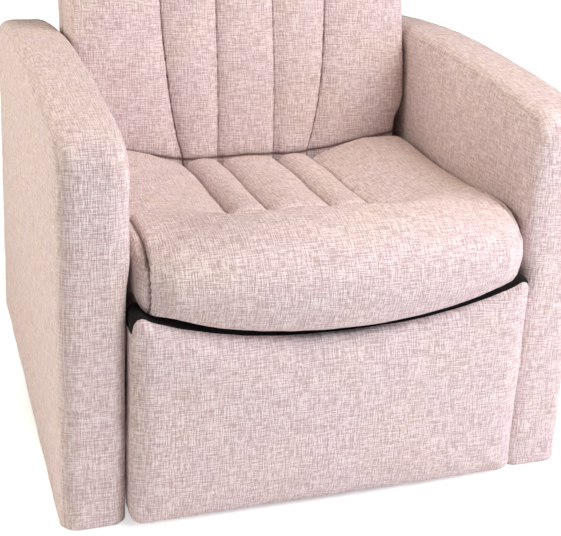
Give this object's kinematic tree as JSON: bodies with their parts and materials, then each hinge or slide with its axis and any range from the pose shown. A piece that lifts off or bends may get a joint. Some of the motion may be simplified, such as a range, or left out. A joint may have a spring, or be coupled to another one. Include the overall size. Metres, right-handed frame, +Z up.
{
  "type": "manual recliner",
  "caption": "Upholstered push-back recliner with slab arms, channelled seat and back, fold-out footrest panel on a steel linkage and a reclining back.",
  "frame": {"origin": "on the floor, at the middle of the chair's width and depth", "axes": "+Z up, -Y to the front that the sitter faces, +X to the sitter's left"},
  "size_m": [0.804, 0.87, 1.0192],
  "materials": {
    "mushroom_weave": "matt woven linen-look upholstery, pinkish mushroom with pale slubs",
    "plywood": "unfinished plywood and hardwood",
    "zinc_steel": "zinc-plated stamped steel",
    "black_steel": "black satin coated tube",
    "spring_steel": "oiled spring wire",
    "elastic_webbing": "woven black elastic webbing",
    "black_plastic": "moulded black plastic"
  },
  "bodies": {
    "base": {"arm_cover_left": "mushroom_weave", "arm_cover_right": "mushroom_weave", "arm_frame_left": "plywood", "arm_frame_right": "plywood", "glide_front_left": "black_plastic", "glide_front_right": "black_plastic", "glide_rear_left": "black_plastic", "glide_rear_right": "black_plastic", "base_rail_left": "zinc_steel", "base_rail_right": "zinc_steel", "base_cross_tube": "black_steel", "rear_apron": "mushroom_weave"},
    "front_swing": {"swing_link_front_left": "zinc_steel", "swing_link_front_right": "zinc_steel"},
    "rear_swing": {"swing_link_rear_left": "zinc_steel", "swing_link_rear_right": "zinc_steel"},
    "seat": {"side_plate_left": "zinc_steel", "side_plate_right": "zinc_steel", "seat_rail_front": "plywood", "seat_rail_rear": "plywood", "seat_rail_side_left": "plywood", "seat_rail_side_right": "plywood", "seat_spring_1": "spring_steel", "seat_spring_2": "spring_steel", "seat_spring_3": "spring_steel", "seat_spring_4": "spring_steel", "seat_cushion": "mushroom_weave"},
    "back": {"back_bracket_left": "zinc_steel", "back_bracket_right": "zinc_steel", "back_post_left": "plywood", "back_post_right": "plywood", "back_rail_1": "plywood", "back_rail_2": "plywood", "back_rail_3": "plywood", "back_strap_1": "elastic_webbing", "back_strap_2": "elastic_webbing", "back_strap_3": "elastic_webbing", "back_cushion": "mushroom_weave", "outside_back": "mushroom_weave"},
    "front_links": {"front_link_left": "zinc_steel", "front_link_right": "zinc_steel", "drive_tube": "black_steel"},
    "rear_links": {"rear_link_left": "zinc_steel", "rear_link_right": "zinc_steel"},
    "lower_links": {"lower_link_left": "zinc_steel", "lower_link_right": "zinc_steel"},
    "upper_links": {"upper_link_left": "zinc_steel", "upper_link_right": "zinc_steel"},
    "footrest": {"footrest_bracket_left": "zinc_steel", "footrest_bracket_right": "zinc_steel", "footrest_board": "plywood", "footrest_pad": "mushroom_weave"}
  },
  "joints": [
    {"name": "front_swing_pivot", "type": "hinge", "parent": "base", "child": "front_swing", "pos_m": [0, -0.143, 0.056], "axis": [1, 0, 0], "range_deg": [0, 28.1]},
    {"name": "seat_level", "type": "hinge", "parent": "front_swing", "child": "seat", "pos_m": [0, -0.09854, 0.17816], "axis": [1, 0, 0], "range_deg": [-28.1, 0]},
    {"name": "rear_swing_pivot", "type": "hinge", "parent": "base", "child": "rear_swing", "pos_m": [0, 0.077, 0.056], "axis": [1, 0, 0], "range_deg": [0, 28.1]},
    {"name": "back_recline", "type": "hinge", "parent": "seat", "child": "back", "pos_m": [0, 0.195, 0.335], "axis": [-1, 0, 0], "range_deg": [0, 32]},
    {"name": "footrest_extend", "type": "hinge", "parent": "seat", "child": "front_links", "pos_m": [0, -0.2778, 0.2236], "axis": [-1, 0, 0], "range_deg": [0, 112.8]},
    {"name": "rear_link_pivot", "type": "hinge", "parent": "seat", "child": "rear_links", "pos_m": [0, -0.1683, 0.2284], "axis": [-1, 0, 0], "range_deg": [0, 109.8]},
    {"name": "lower_link_pivot", "type": "hinge", "parent": "front_links", "child": "lower_links", "pos_m": [0, -0.1996, 0.1063], "axis": [1, 0, 0], "range_deg": [0, 125.3]},
    {"name": "upper_link_pivot", "type": "hinge", "parent": "front_links", "child": "upper_links", "pos_m": [0, -0.1903, 0.0556], "axis": [1, 0, 0], "range_deg": [0, 119.7]},
    {"name": "footrest_pivot", "type": "hinge", "parent": "lower_links", "child": "footrest", "pos_m": [0, -0.3001, 0.2509], "axis": [-1, 0, 0], "range_deg": [0, 96.1]}
  ],
  "couplings": [
    {"joint": "front_swing_pivot", "follows": "back_recline", "ratio": 0.875},
    {"joint": "seat_level", "follows": "back_recline", "ratio": -0.875},
    {"joint": "rear_swing_pivot", "follows": "back_recline", "ratio": 0.875},
    {"joint": "rear_link_pivot", "follows": "footrest_extend", "ratio": 0.9728},
    {"joint": "lower_link_pivot", "follows": "footrest_extend", "ratio": 1.1103},
    {"joint": "upper_link_pivot", "follows": "footrest_extend", "ratio": 1.0604},
    {"joint": "footrest_pivot", "follows": "footrest_extend", "ratio": 0.85119}
  ]
}
